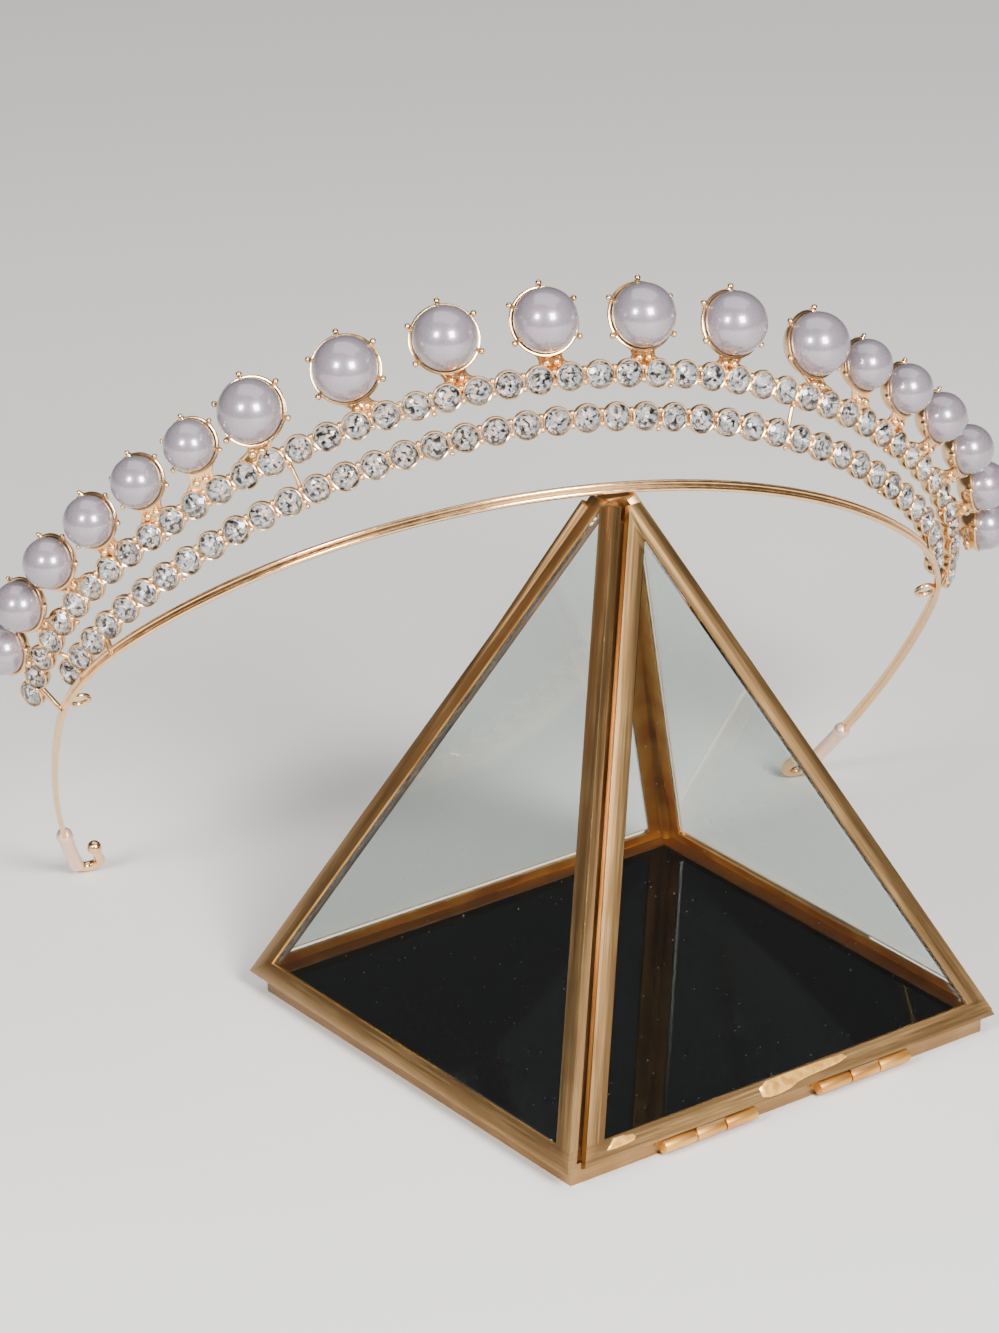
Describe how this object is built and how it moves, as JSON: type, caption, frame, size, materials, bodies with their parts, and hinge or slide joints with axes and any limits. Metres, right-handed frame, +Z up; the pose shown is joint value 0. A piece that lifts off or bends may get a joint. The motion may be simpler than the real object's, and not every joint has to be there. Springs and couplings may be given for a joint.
{
  "type": "pearl tiara on a glass pyramid jewel box",
  "caption": "Pearl tiara with rows of cut stones on an arched gold band, leaning over a glass pyramid jewel box with a hinged side.",
  "frame": {"origin": "centre of the underside of the jewel box, on the surface that the box and the tips of the headband stand on", "axes": "+X across the tiara to its right as seen from the front, +Y from its front to its back, +Z up"},
  "size_m": [0.1698, 0.129, 0.1188],
  "materials": {
    "gold_plate": "polished rose gold plate",
    "crystal": "cut clear crystal",
    "pearl": "glossy nacre, white with a pink and grey overtone",
    "brass": "lacquered brown brass",
    "mirror": "dark mirror",
    "clear_glass": "clear pane"
  },
  "bodies": {
    "tiara_and_box": {"tiara_frame": "gold_plate", "upper_stones": "crystal", "lower_stones": "crystal", "pearl_01": "pearl", "pearl_02": "pearl", "pearl_03": "pearl", "pearl_04": "pearl", "pearl_05": "pearl", "pearl_06": "pearl", "pearl_07": "pearl", "pearl_08": "pearl", "pearl_09": "pearl", "pearl_10": "pearl", "pearl_11": "pearl", "pearl_12": "pearl", "pearl_13": "pearl", "pearl_14": "pearl", "pearl_15": "pearl", "pearl_16": "pearl", "pearl_17": "pearl", "pearl_18": "pearl", "pearl_19": "pearl", "box_frame": "brass", "base_mirror": "mirror", "glass_front_left": "clear_glass", "glass_back_left": "clear_glass", "glass_back_right": "clear_glass"},
    "door": {"door_frame": "brass", "door_glass": "clear_glass"}
  },
  "joints": [
    {"name": "door_hinge", "type": "hinge", "parent": "tiara_and_box", "child": "door", "pos_m": [0.01448, -0.03873, 0.00175], "axis": [0.9367, 0.3502, 0], "range_deg": [0, 110]}
  ]
}
